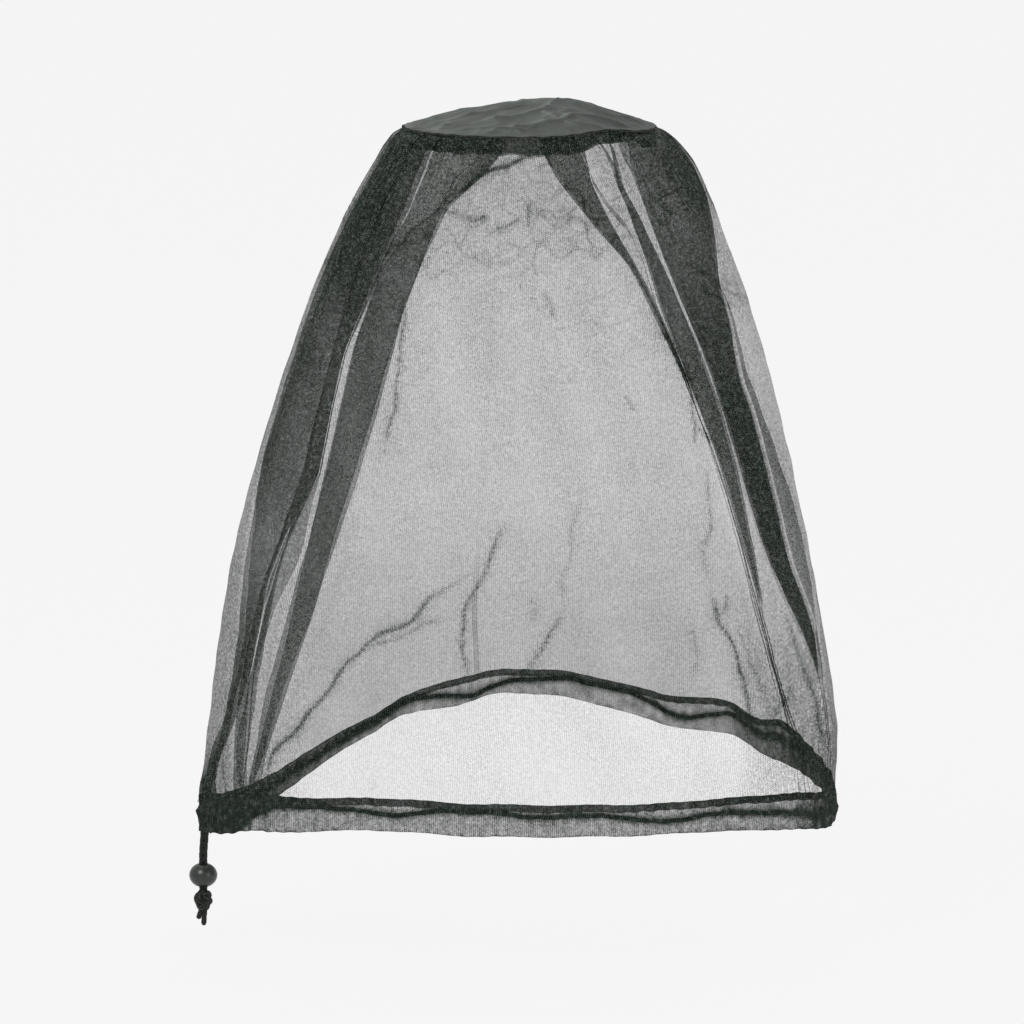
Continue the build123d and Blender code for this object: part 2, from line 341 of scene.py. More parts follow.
def net_material(name, contrast):
    """Warp-knitted net: black thread with see-through holes.

    The attribute 'cover' is the thread's share of the area seen straight on.  Dense cloth shows
    less of the knit and of the thread's painted glints than open cloth does.
    """
    n = Nodes(name)
    cloth = n.attribute("cloth", "Vector")
    slub_and_glint = n.attribute("slub_and_glint", "Vector")
    thread_share = n.attribute("cover")
    split = n.add("ShaderNodeSeparateXYZ", {0: cloth})
    u, v = split.outputs[0], split.outputs[1]
    wobble = n.math("MULTIPLY", n.math("SUBTRACT", n.noise(cloth, 90.0, 3.0), 0.5), 6.0)
    turn_u = n.math("MULTIPLY_ADD", u, 2 * math.pi / WALE_PITCH, wobble)
    wale = n.math("COSINE", turn_u)
    zigzag = n.math("MULTIPLY", n.math("SINE", n.math("MULTIPLY", turn_u, 0.5)), 2.0)
    course = n.math("COSINE", n.math("MULTIPLY_ADD", v, 2 * math.pi / COURSE_PITCH, zigzag))
    knit = n.math("MULTIPLY_ADD", wale, 0.62, n.math("MULTIPLY", course, 0.38))
    grain = n.math("SUBTRACT", n.noise(cloth, 800.0, 1.0, 0.6), 0.5)
    blotch = n.math("SUBTRACT", n.noise(cloth, 34.0, 4.0, 0.6), 0.5)
    # specks of uneven yarn in the cover, and painted glints in the thread's colour below
    speckle = n.math("SUBTRACT", n.noise(slub_and_glint, 560.0, 1.0), 0.5)
    depth = n.add("ShaderNodeLightPath").outputs["Transparent Depth"]
    nearest = n.math("MULTIPLY_ADD", n.math("MINIMUM", depth, 1.0), SEEN_THROUGH - 1, 1.0)
    open_knit = n.math("MULTIPLY_ADD", thread_share, -1.3, 1.4)
    open_knit = n.math("MAXIMUM", n.math("MINIMUM", open_knit, 1.0), 0.25)
    pattern = n.math("MULTIPLY_ADD", knit, contrast, n.math("MULTIPLY", grain, 2.6 * contrast))
    pattern = n.math("MULTIPLY_ADD", speckle, 1.6, pattern)
    pattern = n.math("MULTIPLY", pattern, open_knit)
    pattern = n.math("MULTIPLY", pattern, nearest)
    pattern = n.math("MULTIPLY_ADD", blotch, 0.36, pattern)

    geometry = n.add("ShaderNodeNewGeometry")
    facing = n.add(
        "ShaderNodeVectorMath",
        {0: geometry.outputs["Normal"], 1: geometry.outputs["Incoming"]},
        operation="DOT_PRODUCT",
    ).outputs["Value"]
    facing = n.math("MAXIMUM", n.math("ABSOLUTE", facing), LEAST_FACING)
    cover = n.math("MULTIPLY", thread_share, n.math("POWER", facing, -0.5))
    cover = n.math("MULTIPLY", cover, n.math("ADD", pattern, 1.0))
    cover = n.math("MINIMUM", n.math("MAXIMUM", cover, 0.0), MOST_COVER)

    tone = n.math("MULTIPLY_ADD", knit, 0.25, n.noise(cloth, 240.0, 2.0), clamp=True)
    # painted highlights: the specks push the thread's colour up towards THREAD_GLINT
    tone = n.math("MULTIPLY_ADD", n.math("MULTIPLY", speckle, open_knit), -1.6, tone)
    color = n.ramp(tone, [(0.2, THREAD_DARK), (0.62, THREAD_LIGHT), (1.0, THREAD_GLINT)])
    thread = n.surface({"Base Color": color, "Roughness": 0.8, "Specular IOR Level": 0.12})
    hole = n.add("ShaderNodeBsdfTransparent").outputs[0]
    mix = n.add("ShaderNodeMixShader", {0: cover, 1: hole, 2: thread}).outputs[0]
    return n.output(mix)


def crown_material():
    """Fine plain weave, slightly lustrous, with painted highlights along the creases and painted
    shading by slope.
    """
    n = Nodes("crown_cloth")
    place = n.place()
    split = n.add("ShaderNodeSeparateXYZ", {0: place})
    rate = 2 * math.pi / WEAVE_PITCH
    warp = n.math("COSINE", n.math("MULTIPLY", split.outputs[0], rate))
    weft = n.math("COSINE", n.math("MULTIPLY", split.outputs[1], rate))
    weave = n.math("MULTIPLY", warp, weft)
    # the 'crease' attribute is painted light: highlights along the ridges and shading by slope
    # towards the key light
    crease = n.attribute("crease")
    cloud = n.noise(place, 38.0, 4.0, 0.6)
    fine = n.noise(place, 900.0, 2.0)
    tone = n.math("MULTIPLY_ADD", crease, 0.55, n.math("MULTIPLY", cloud, 0.45))
    tone = n.math("MULTIPLY_ADD", weave, 0.05, tone)
    tone = n.math("MULTIPLY_ADD", n.math("SUBTRACT", fine, 0.5), 0.25, tone, clamp=True)
    color = n.ramp(
        tone,
        [(0.0, (0.010, 0.015, 0.011)), (0.5, (0.034, 0.042, 0.035)), (1.0, (0.088, 0.101, 0.089))],
    )
    bumps = n.math("MULTIPLY_ADD", weave, 0.5, fine)
    shader = n.surface(
        {
            "Base Color": color,
            "Roughness": 0.6,
            "Specular IOR Level": 0.3,
            "Sheen Weight": 0.05,
            "Normal": n.bump(bumps, 0.35, 0.2 * MM),
        }
    )
    return n.output(shader)


def cord_material():
    """Braided polyester: dark strands, slightly glossy, with painted highlights on the strands'
    crowns.
    """
    n = Nodes("braided_cord")
    height = n.attribute("braid")
    place = n.place()
    fibre = n.noise(place, 2600.0, 3.0, 0.7)
    # painted highlight: the braid's raised crowns are made paler in colour
    tone = n.math("MULTIPLY_ADD", height, 0.7, n.math("MULTIPLY", fibre, 0.35), clamp=True)
    color = n.ramp(
        tone,
        [(0.1, (0.003, 0.004, 0.003)), (0.6, (0.010, 0.012, 0.010)), (1.0, (0.050, 0.054, 0.050))],
    )
    shader = n.surface(
        {
            "Base Color": color,
            "Roughness": 0.65,
            "Specular IOR Level": 0.2,
            "Sheen Weight": 0.03,
            "Normal": n.bump(fibre, 0.3, 0.1 * MM),
        }
    )
    return n.output(shader)


def thread_material():
    """Sewing thread with its fine twist."""
    n = Nodes("sewing_thread")
    place = n.place()
    twist = n.noise(place, 4200.0, 2.0)
    color = n.ramp(twist, [(0.3, (0.006, 0.007, 0.006)), (0.75, (0.018, 0.020, 0.018))])
    bump = n.bump(twist, 0.4, 0.05 * MM)
    return n.output(n.surface({"Base Color": color, "Roughness": 0.65, "Normal": bump}))


def ball_material():
    """Moulded plastic, satin, with faint handling scuffs."""
    n = Nodes("moulded_ball")
    place = n.place()
    cloud = n.noise(place, 260.0, 4.0, 0.6)
    scuff = n.noise(place, 2400.0, 3.0, 0.7)
    color = n.ramp(cloud, [(0.25, (0.006, 0.009, 0.007)), (0.8, (0.018, 0.022, 0.018))])
    shader = n.surface(
        {
            "Base Color": color,
            "Roughness": n.math("MULTIPLY_ADD", scuff, 0.16, 0.24),
            "Specular IOR Level": 0.55,
            "Normal": n.bump(scuff, 0.12, 0.05 * MM),
        }
    )
    return n.output(shader)


NET = net_material("net", contrast=0.78)
FOLDED_NET = net_material("folded_net", contrast=0.5)
CROWN_CLOTH = crown_material()
CORD = cord_material()
THREAD = thread_material()
BALL = ball_material()

# --------------------------------------------------------------------- pleats of the net
# A pleat is a z-fold: the cloth runs forward to the azimuth "hi", back to "lo" and forward
# again, so the band between the two edges is three layers deep.  Each edge is a list of
# (share of the way down, azimuth).  "outer" names the edge whose fold lies outside.
# Below the share "ends" the pleat is spent and only a crease is left along "lo".
# "cover" is the net's thread share inside the band; "behind" repeats the pleat in the back.
FRONT_PLEATS = [
    dict(
        outer="hi",
        cover=[(0, 0.42), (0.2, 0.40), (0.28, 0.33), (0.36, 0.29), (0.5, 0.28), (0.62, 0.24),
               (0.7, 0.26), (0.76, 0.33), (1, 0.35)],
        lo=[(0, -77), (0.12, -75), (0.35, -77), (0.5, -79.5), (0.58, -74), (0.75, -69),
            (0.82, -70), (0.9, -74), (1, -85)],
        hi=[(0, -56), (0.5, -54), (0.6, -56.5), (0.7, -61), (0.8, -63), (0.9, -67.5), (1, -76)],
    ),
    dict(
        outer="hi",
        cover=[(0, 0.38), (0.25, 0.38), (0.4, 0.33), (0.55, 0.36), (0.8, 0.36), (0.9, 0.27),
               (1, 0.27)],
        lo=[(0, -57), (0.5, -55.5), (0.6, -57.5), (0.7, -61.5), (0.8, -64), (0.9, -66), (1, -62.5)],
        hi=[(0, -42.8), (0.1, -42.1), (0.14, -43.2), (0.21, -46), (0.27, -48.8), (0.32, -50.6),
            (0.5, -49.5), (0.55, -52.5), (0.6, -56), (0.66, -58.2), (0.8, -60), (1, -60)],
    ),
    dict(
        outer="hi",
        behind=False,
        cover=[(0, 0.42), (0.2, 0.40), (0.5, 0.26), (1, 0.26)],
        lo=[(0, -42.2), (0.11, -42.2), (0.15, -44.6), (0.21, -46.6), (0.27, -49.2), (0.32, -50.8),
            (0.5, -49.7), (0.55, -52.8), (0.6, -56.2), (0.66, -58.4), (0.8, -60), (1, -60)],
        hi=[(0, -17), (0.03, -21), (0.05, -27.5), (0.1, -29), (0.13, -37), (0.19, -44.4),
            (0.24, -46.5), (0.32, -50.3), (0.5, -49.3), (0.54, -49.8), (0.6, -49.5),
            (0.64, -50.5), (0.7, -54.5), (0.8, -58.8), (1, -59.6)],
    ),
    dict(
        outer="hi",
        lo=[(0, -18), (0.03, -21.6), (0.05, -26.6), (0.1, -30), (0.13, -37.6), (0.19, -45),
            (0.23, -46), (0.3, -48), (0.45, -47.8), (0.6, -49), (0.75, -52.5), (0.85, -56),
            (1, -58.5)],
        hi=[(0, -11), (0.02, -12), (0.07, -22), (0.1, -27.5), (0.16, -30), (0.25, -33.5),
            (0.4, -36), (0.5, -38.3), (0.6, -41), (0.7, -44), (0.85, -51), (1, -57)],
    ),
    dict(
        outer="lo",
        ends=0.4,
        cover=[(0, 0.34), (0.2, 0.34), (0.35, 0.30), (1, 0.30)],
        lo=[(0, 2), (0.05, 8), (0.1, 16.5), (0.14, 22.5), (0.18, 28.5), (0.21, 31.2), (0.3, 36.8),
            (0.36, 40), (0.43, 43), (0.6, 49), (0.7, 51.5), (1, 62)],
        hi=[(0, 19), (0.06, 20.2), (0.1, 23.5), (0.17, 30.2), (0.21, 33.3), (0.3, 38.8),
            (0.4, 43)],
    ),
    dict(
        outer="lo",
        ends=0.15,
        behind=False,
        cover=[(0, 0.27), (1, 0.27)],
        lo=[(0, 19.8), (0.06, 20.2), (0.1, 24.5), (0.14, 31.5), (0.18, 34.4), (0.24, 35.6),
            (0.37, 40.5), (0.47, 44.8), (0.63, 50), (0.83, 56.4), (1, 65)],
        hi=[(0, 20.2), (0.055, 20.6), (0.1, 26.5), (0.135, 33)],
    ),
    dict(
        outer="lo",
        ends=0.72,
        lo=[(0, 29.5), (0.06, 29), (0.1, 31.5), (0.18, 35.2), (0.24, 36.3), (0.37, 41.2),
            (0.47, 45.5), (0.63, 50.8), (0.7, 53), (0.83, 57), (1, 66.5)],
        hi=[(0, 31), (0.07, 32), (0.11, 35.8), (0.2, 41.8), (0.3, 46.5), (0.4, 50), (0.5, 52),
            (0.63, 53.8), (0.7, 54)],
    ),
    dict(
        outer="lo",
        ends=0.84,
        cover=[(0, 0.28), (0.2, 0.31), (0.3, 0.38), (0.6, 0.41), (1, 0.34)],
        lo=[(0, 39), (0.03, 36), (0.08, 37.5), (0.15, 40.5), (0.25, 44.5), (0.34, 48.6),
            (0.5, 53), (0.59, 56), (0.64, 58.5), (0.7, 62.5), (0.76, 67.5), (0.82, 71.5),
            (0.9, 73.5), (1, 76)],
        hi=[(0, 83), (0.08, 82), (0.13, 76), (0.17, 69), (0.22, 62.5), (0.28, 63), (0.33, 60.6),
            (0.37, 60.4), (0.41, 62.2), (0.54, 64.3), (0.64, 66.5), (0.7, 70.5), (0.76, 74.5),
            (0.82, 73.5)],
    ),
    dict(
        outer="lo",
        ends=0.77,
        behind=False,
        cover=[(0, 0.30), (0.6, 0.27), (0.75, 0.20), (1, 0.20)],
        lo=[(0, 83.4), (0.08, 82.4), (0.13, 76.4), (0.17, 69.4), (0.22, 62.9), (0.28, 63.4),
            (0.33, 61), (0.37, 60.8), (0.41, 62.6), (0.54, 64.7), (0.64, 66.9), (0.7, 70.9),
            (0.76, 75), (0.85, 76), (1, 78.5)],
        hi=[(0, 83.8), (0.13, 76.8), (0.17, 69.8), (0.22, 63.4), (0.27, 66.5), (0.35, 65),
            (0.5, 72), (0.58, 77), (0.65, 80), (0.7, 79), (0.76, 76)],
    ),
]
BAND_COVER = [(0, 0.31), (1, 0.31)]  # of a pleat that names no cover

# The thread share between the pleats, by share of the way down.
FRONT_COVER = [
    (0, 0.30), (0.1, 0.34), (0.2, 0.29), (0.35, 0.26), (0.6, 0.25), (0.75, 0.22), (0.86, 0.19),
    (1, 0.18),
]
BACK_COVER = [
    (0, 0.30), (0.1, 0.34), (0.2, 0.29), (0.35, 0.26), (0.6, 0.27), (0.72, 0.35), (0.8, 0.41),
    (1, 0.44),
]
LEFT_SIDE_COVER = [(0, 0.26), (0.45, 0.28), (1, 0.32)]
RIGHT_SIDE_COVER = [(0, 0.24), (0.65, 0.24), (0.8, 0.34), (1, 0.36)]

NET_ROWS = 380
ROW_SHARE = np.linspace(0, 1, NET_ROWS)
PLEAT_LENGTH = 430 * MM  # the fall of net over which pleats are laid out
PLEAT_LIFT_TOP = 0.8 * MM  # how far a fold stands off the bell near the crown
PLEAT_LIFT_LOW = 1.4 * MM  # and further down
BACK_FLOW = (0.038, 0.066)  # pleats lie lower in the back: at the crown, and more per length
MIN_BAND = 0.35  # degrees; a spent pleat stays as a thin crease
TUCK = 1.5  # degrees that neighbouring pleats may overlap
FOLD_MARGIN = 7.0  # degrees over which the cloth beside a pleat comes back to the bell
BAND_SOFT = 0.3  # degrees over which a pleat's cover fades in
FINE_ARC = 70  # degrees either side of the front with narrow columns
FINE_COLUMN = 1.3 * MM
COARSE_COLUMN = 3.0 * MM
GAUGE_RADIUS = 170 * MM  # turns degrees into length where columns are counted
RIPPLE_RADIUS = 160 * MM  # and where ripples are laid on the cloth


def net_top(azimuth):
    """Upper edge of the net: a little raised on the right and at the left shoulder."""
    shoulder = np.exp(-(((wrap(azimuth) + 84) / 12) ** 2))
    return SEAM_Z + 0.8 * MM + rim_lift(azimuth) + 1.2 * MM * shoulder


def rim_lift(azimuth):
    """The crown's edge stands a little higher at the front right."""
    return 3.2 * MM * np.exp(-(((wrap(azimuth) - 37) / 17) ** 2))


def net_height(azimuth, share):
    bottom = hem_bottom(azimuth) + casing_height(azimuth) - 0.5 * MM
    return net_top(azimuth) + (bottom - net_top(azimuth)) * share


def edge_azimuth(points, behind, spent=None, ends=2.0):
    """Azimuth of a fold edge on every row; behind, the fold is mirrored and lies lower."""
    fine = np.linspace(-0.2, 1.3, 601)
    line = read(points, fine)
    if spent:
        line = line + (read(spent, fine) - line) * smooth(fine, ends - 0.03, ends)
    soft = soften(line, "edge")
    mirror = 180 if points[0][1] > 0 else -180
    azimuth = np.interp(ROW_SHARE, fine, soft)
    for _ in range(4):
        place = mirror - azimuth if behind else azimuth
        level = -net_height(place, ROW_SHARE) / PLEAT_LENGTH
        if behind:
            lower = BACK_FLOW[0] + BACK_FLOW[1] * level
            level = level - lower * np.cos(np.radians(azimuth))
        azimuth = np.interp(level, fine, soft)
    return mirror - azimuth if behind else azimuth


# Thin creases on the front, as (x, z) in millimetres down the face side, with a strength.
FRONT_CREASES = [
    (1.4, [(14, -6), (-9, -13), (-27, -20), (-46, -35)]),
    (0.6, [(13, -11), (5, -18)]),
    (0.6, [(-55, -45), (-47, -44)]),
    (0.9, [(-42, -47), (-35, -51), (-26, -48)]),
    (0.7, [(-23, -54), (-16, -53), (-6, -48)]),
    (0.6, [(-4, -38), (-2, -44), (0, -57)]),
    (0.35, [(-37, -71), (-29, -77)]),
    (0.45, [(7, -95), (12, -102), (15, -112)]),
    (0.7, [(-79, -100), (-81, -125), (-84, -150), (-90, -184), (-95, -198)]),
    (0.8, [(83, -120), (94, -140), (103, -157)]),
    (0.6, [(104, -160), (104, -180), (103, -197)]),
    (0.5, [(105, -184), (111, -188), (117, -193)]),
    (0.45, [(112, -208), (114, -230), (114, -246), (110, -260), (116, -286)]),
    (0.95, [(115, -290), (120, -306), (129, -324), (134, -336), (137, -350), (138, -358)]),
    (0.5, [(124, -290), (123, -306)]),
    (0.4, [(104, -308), (106, -330), (104, -343)]),
    (1.15, [(-172, -415), (-163, -394), (-149, -377), (-131, -353), (-118, -334), (-109, -326),
            (-89, -310), (-72, -301), (-62, -290), (-53, -282), (-40, -274)]),
    (0.5, [(-109, -326), (-91, -318), (-81, -313), (-64, -304), (-53, -300)]),
    (0.95, [(-17, -241), (-27, -268), (-37, -288), (-42, -300), (-42, -321), (-40, -342)]),
    (0.35, [(30, -222), (24, -260), (20, -296)]),
    (0.8, [(20, -296), (9, -318), (-4, -336)]),
    (0.4, [(-4, -336), (10, -328)]),
    (0.35, [(-3, -288), (2, -296), (0, -306)]),
    (0.4, [(60, -160), (66, -172)]),
    (0.9, [(136, -348), (138, -360), (143, -377)]),
    (0.5, [(165, -308), (174, -337), (182, -364), (190, -390), (191, -403)]),
    (0.45, [(156, -375), (163, -364), (170, -354)]),
    (0.3, [(133, -311), (140, -332), (148, -351), (156, -370)]),
]
CREASE_CORE = 1.3 * MM
CREASE_HALO = 4.2 * MM
CREASE_DEPTH = 1.0 * MM
CREASE_REACH = 20 * MM  # no crease is felt farther away
CRUMPLE_END = -330 * MM  # the crushed folds fade out at this height


def crease_field(x, z):
    """Strength 0..1 of the nearest creases at points of the front."""
    field = np.zeros_like(x)
    wander = waves(3, 4, 60, 260)
    x, z = (
        x + 1.1 * MM * ripples(67, 6, 30 * MM)(x, z),
        z + 1.1 * MM * ripples(68, 6, 30 * MM)(x, z),
    )
    for strength, points in FRONT_CREASES:
        path = curve_through([(a * MM, 0, b * MM) for a, b in points], 2.5 * MM)
        nearest = np.full(x.shape, 1.0)
        fade = np.zeros(x.shape)
        low, high = path.min(0) - CREASE_REACH, path.max(0) + CREASE_REACH
        box = (x > low[0]) & (x < high[0]) & (z > low[2]) & (z < high[2])
        bx, bz = x[box], z[box]
        near, way = np.full(bx.shape, 1.0), np.zeros(bx.shape)
        for index, (start, end) in enumerate(zip(path[:-1], path[1:])):
            step = end - start
            share = ((bx - start[0]) * step[0] + (bz - start[2]) * step[2]) / (step @ step)
            share = np.clip(share, 0, 1)
            far = np.hypot(bx - start[0] - share * step[0], bz - start[2] - share * step[2])
            closer = far < near
            near[closer] = far[closer]
            way[closer] = ((index + share) / (len(path) - 1))[closer]
        nearest[box], fade[box] = near, way
        ends = smooth(fade, 0, 0.15) * (1 - smooth(fade, 0.8, 1)) * 0.8 + 0.2
        bold = strength * ends * (0.8 + 0.2 * wander(fade * 3 + strength))
        mark = 0.75 * np.exp(-((nearest / CREASE_CORE) ** 2))
        mark += 0.25 * np.exp(-((nearest / CREASE_HALO) ** 2))
        field = np.maximum(field, bold * mark)
    return field


def cell_lines(x, z, size, seed, width):
    """Thin lines between the cells of crushed cloth, 1 on a line and 0 inside a cell."""
    draw = np.random.default_rng(SEED + seed)
    places = np.arange(-0.32, 0.33, size)
    levels = np.arange(-0.46, 0.02, size * 1.3)
    grid = np.stack(np.meshgrid(places, levels), -1).reshape(-1, 2)
    grid = grid + draw.uniform(-0.48, 0.48, grid.shape) * size
    tree = KDTree(len(grid))
    for index, (a, b) in enumerate(grid):
        tree.insert((a, b, 0), index)
    tree.balance()
    lines = np.zeros(x.size)
    for index, (a, b) in enumerate(zip(x.ravel(), z.ravel())):
        (_, _, first), (_, _, second) = tree.find_n((a, b, 0), 2)
        lines[index] = second - first
    return np.exp(-((lines.reshape(x.shape) / width) ** 2))


def crumple_field(x, z):
    """Faint network of crushed folds, strongest near the crown."""
    near = z > CRUMPLE_END
    bend_x = x + 5 * MM * ripples(64, 5, 26 * MM)(x, z)
    bend_z = z + 5 * MM * ripples(65, 5, 26 * MM)(x, z)
    coarse, fine = np.zeros_like(x), np.zeros_like(x)
    coarse[near] = cell_lines(bend_x[near], bend_z[near], 26 * MM, 61, 1.7 * MM)
    fine[near] = cell_lines(bend_x[near], bend_z[near], 12 * MM, 62, 1.2 * MM)
    patch = smooth(ripples(63, 6, 60 * MM)(x, z), -0.7, 1.0)
    other = smooth(ripples(66, 6, 40 * MM)(x, z), -0.3, 1.1)
    strength = 0.05 + 0.20 * smooth(z, -170 * MM, -50 * MM)
    strength = strength * smooth(z, CRUMPLE_END, CRUMPLE_END + 60 * MM)
    haze = 0.05 * smooth(z, -130 * MM, -30 * MM) * other
    return strength * (0.75 * coarse * patch + 0.5 * fine * other) + haze


def pleat_edges():
    """For every pleat from the back round to the back: lo, hi, fold side and cover."""
    edges = []

    def add_pleat(pleat, behind):
        lo = edge_azimuth(pleat["lo"], behind)
        spent = pleat["lo"] if "ends" in pleat else None
        hi = edge_azimuth(pleat["hi"], behind, spent, pleat.get("ends"))
        if behind:
            lo, hi = hi, lo
        half = np.maximum(hi - lo, MIN_BAND) / 2
        middle = (lo + hi) / 2
        sign = 1 if (pleat["outer"] == "hi") != behind else -1
        edges.append([middle - half, middle + half, sign, pleat.get("cover", BAND_COVER)])

    left = [p for p in FRONT_PLEATS if p["hi"][0][1] < 0 and p.get("behind", True)]
    right = [p for p in FRONT_PLEATS if p["hi"][0][1] > 0 and p.get("behind", True)]
    for pleat in reversed(left):
        add_pleat(pleat, True)
    for pleat in FRONT_PLEATS:
        add_pleat(pleat, False)
    for pleat in reversed(right):
        add_pleat(pleat, True)
    for before, after in zip(edges[:-1], edges[1:]):
        after[0] = np.maximum(after[0], before[1] - TUCK)
        after[1] = np.maximum(after[1], after[0] + MIN_BAND)
    return edges


def lay_columns(edges):
    """Azimuth of every point of the net, row by column, and each column's run of cloth."""
    stations = [np.full(NET_ROWS, -180.0)]
    for lo, hi, _, _ in edges:
        stations += [hi, lo]
    stations.append(np.full(NET_ROWS, 180.0))

    columns, bands = [], []
    for index, (start, end) in enumerate(zip(stations[:-1], stations[1:])):
        reach = np.radians(np.abs(end - start)).max() * GAUGE_RADIUS
        middle = (start[NET_ROWS // 2] + end[NET_ROWS // 2]) / 2
        step = FINE_COLUMN if abs(middle) < FINE_ARC else COARSE_COLUMN
        count = max(4, int(reach / step))
        share = np.arange(count) / count
        columns.append(start[:, None] + (end - start)[:, None] * share)
        bands.append(np.full(count, index))
    columns.append(stations[-1][:, None])
    bands.append([len(stations) - 2])
    return np.concatenate(columns, 1), np.concatenate(bands).astype(int)


def build_net():
    """The whole tube of net as arrays: points, cloth coordinates and cover, row by column."""
    edges = pleat_edges()
    azimuth, segment = lay_columns(edges)
    share = ROW_SHARE[:, None] * np.ones_like(azimuth)
    z = net_height(azimuth, share)
    level = -z / PLEAT_LENGTH
    turned = np.radians(azimuth)
    facing_front = np.cos(turned) > 0
    left_side = np.sin(turned) < 0
    cover = np.where(facing_front, read(FRONT_COVER, level), read(BACK_COVER, level))
    side_cover = np.where(left_side, read(LEFT_SIDE_COVER, level), read(RIGHT_SIDE_COVER, level))
    cover = cover + (side_cover - cover) * smooth(np.abs(np.sin(turned)), 0.62, 0.78)

    lift = PLEAT_LIFT_TOP + (PLEAT_LIFT_LOW - PLEAT_LIFT_TOP) * smooth(share, 0.02, 0.5)
    lift = lift * (1 - 0.6 * smooth(share, 0.85, 1.0))
    out = np.zeros_like(azimuth)
    for k, (lo, hi, sign, band_cover) in enumerate(edges):
        lo, hi = lo[:, None], hi[:, None]
        before, back, after = 2 * k, 2 * k + 1, 2 * k + 2
        approach = (segment == before) * smooth(azimuth, lo - FOLD_MARGIN, lo)
        leave = (segment == after) * (1 - smooth(azimuth, hi, hi + FOLD_MARGIN))
        across = np.clip((hi - azimuth) / (hi - lo), 0, 1)
        turn = (segment == back) * (1 - 2 * across)
        out += sign * lift * (approach - leave + turn)
        inside = smooth(azimuth, lo - BAND_SOFT, lo)
        inside = inside * (1 - smooth(azimuth, hi, hi + BAND_SOFT))
        inside = inside * ((segment >= before) & (segment <= after))
        inside = inside * smooth(hi - lo, MIN_BAND, 1.5)
        cover = cover + (read(band_cover, level) - cover) * inside

    drape = ripples(21, 9, 95 * MM, (1.0, 0.35))
    crinkle = ripples(22, 12, 17 * MM, (1.0, 0.5))
    gather = waves(23, 7, 1.0, 3.4)
    base = bell_point(azimuth, z)
    arc = turned * RIPPLE_RADIUS
    out += 1.9 * MM * drape(arc, z) * smooth(share, 0.03, 0.3) * (1 - smooth(share, 0.9, 1))
    out += 0.25 * MM * crinkle(arc, z) * smooth(share, 0.02, 0.1)
    out += 0.4 * MM * gather(azimuth) * (1 - smooth(share, 0.0, 0.13))
    shoulder = np.exp(-(((azimuth + 88) / 9) ** 2)) * (1 - smooth(share, 0.0, 0.03))
    out += 1.6 * MM * shoulder - 0.5 * MM * (1 - smooth(share, 0.0, 0.01))
    crease = np.where(facing_front, crease_field(base[..., 0], base[..., 2]), 0)
    crumple = crumple_field(base[..., 0] + 0.37 * (base[..., 1] > 0) * MM, z)
    out += CREASE_DEPTH * crease + 2.5 * MM * crumple
    points = bell_point(azimuth, z, out)
    step_u = np.linalg.norm(np.diff(base, axis=1), axis=2)
    u = np.concatenate([np.zeros((NET_ROWS, 1)), np.cumsum(step_u, 1)], 1)
    centre = np.abs(azimuth).argmin(1)
    u -= u[np.arange(NET_ROWS), centre][:, None]
    fall = np.linalg.norm(np.diff(base, axis=0), axis=2).mean(1)
    v = np.concatenate([[0], np.cumsum(fall)])[:, None] + 0 * u
    meet = smooth(share, 0.95, 1.0)[..., None]
    hem_line = hem_place(azimuth, 0, z - hem_bottom(azimuth))
    points = points + (hem_line - points) * meet

    shade = ripples(71, 9, 46 * MM, (1.0, 0.35))(base[..., 0] + 0.25 * z, z)
    shade = shade * 0.014 * (1 + smooth(azimuth, -10, 40) * facing_front)
    cover = cover + shade * smooth(share, 0.1, 0.3)
    bunch = smooth(share, 0.9, 1.0) * left_bunch(azimuth)
    cover = cover + 0.62 * crease + crumple + 0.12 * bunch
    return azimuth, points, u, v, np.clip(cover, 0, 0.95)


def net_piece(name, first, last):
    """One piece of the net, from a run of its columns."""
    points, u, v, cover = [part[:, first:last] for part in net[1:]]
    return cloth_piece(name, points, grid_faces(*points.shape[:2]), NET, u, v, cover)


# ------------------------------------------------------------------ hem: shared courses
HEM_STEPS = 960
HEM_AZIMUTH = -180 + 360 * np.arange(HEM_STEPS) / HEM_STEPS
CASING_MIDDLE = 3.0 * MM  # mid thickness of the casing inside the hem outline


def hem_outline(azimuth, inset=CASING_MIDDLE):
    psi = np.radians(azimuth)
    x = HEM_X + (HEM_HALF_WIDTH - inset) * np.sin(psi)
    return x, -(HEM_HALF_DEPTH - inset) * np.cos(psi)


fine_azimuth = np.linspace(-180, 180, 3601)
fine_x, fine_y = hem_outline(fine_azimuth)
fine_arc = np.concatenate([[0], np.cumsum(np.hypot(np.diff(fine_x), np.diff(fine_y)))])
HEM_LENGTH = fine_arc[-1]


def arc_at(azimuth):
    return np.interp(wrap(azimuth), fine_azimuth, fine_arc)


def loop_waves(seed, count, short, long):
    """A smooth random function of the place round the hem, closed on itself."""
    draw = np.random.default_rng(SEED + seed)
    turns = draw.integers(int(HEM_LENGTH / long), int(HEM_LENGTH / short) + 1, count)
    phases = draw.uniform(0, 2 * math.pi, count)

    def height(azimuth):
        along = 2 * math.pi * arc_at(azimuth) / HEM_LENGTH
        return sum(np.sin(t * along + p) for t, p in zip(turns, phases)) / count ** 0.5

    return height


sway_long = loop_waves(31, 5, 70 * MM, 190 * MM)
sway_short = loop_waves(32, 7, 9 * MM, 22 * MM)
rise_long = loop_waves(33, 5, 45 * MM, 110 * MM)
rise_short = loop_waves(34, 6, 10 * MM, 24 * MM)
cord_short = loop_waves(36, 4, 16 * MM, 30 * MM)
edge_wave = loop_waves(37, 8, 7 * MM, 40 * MM)


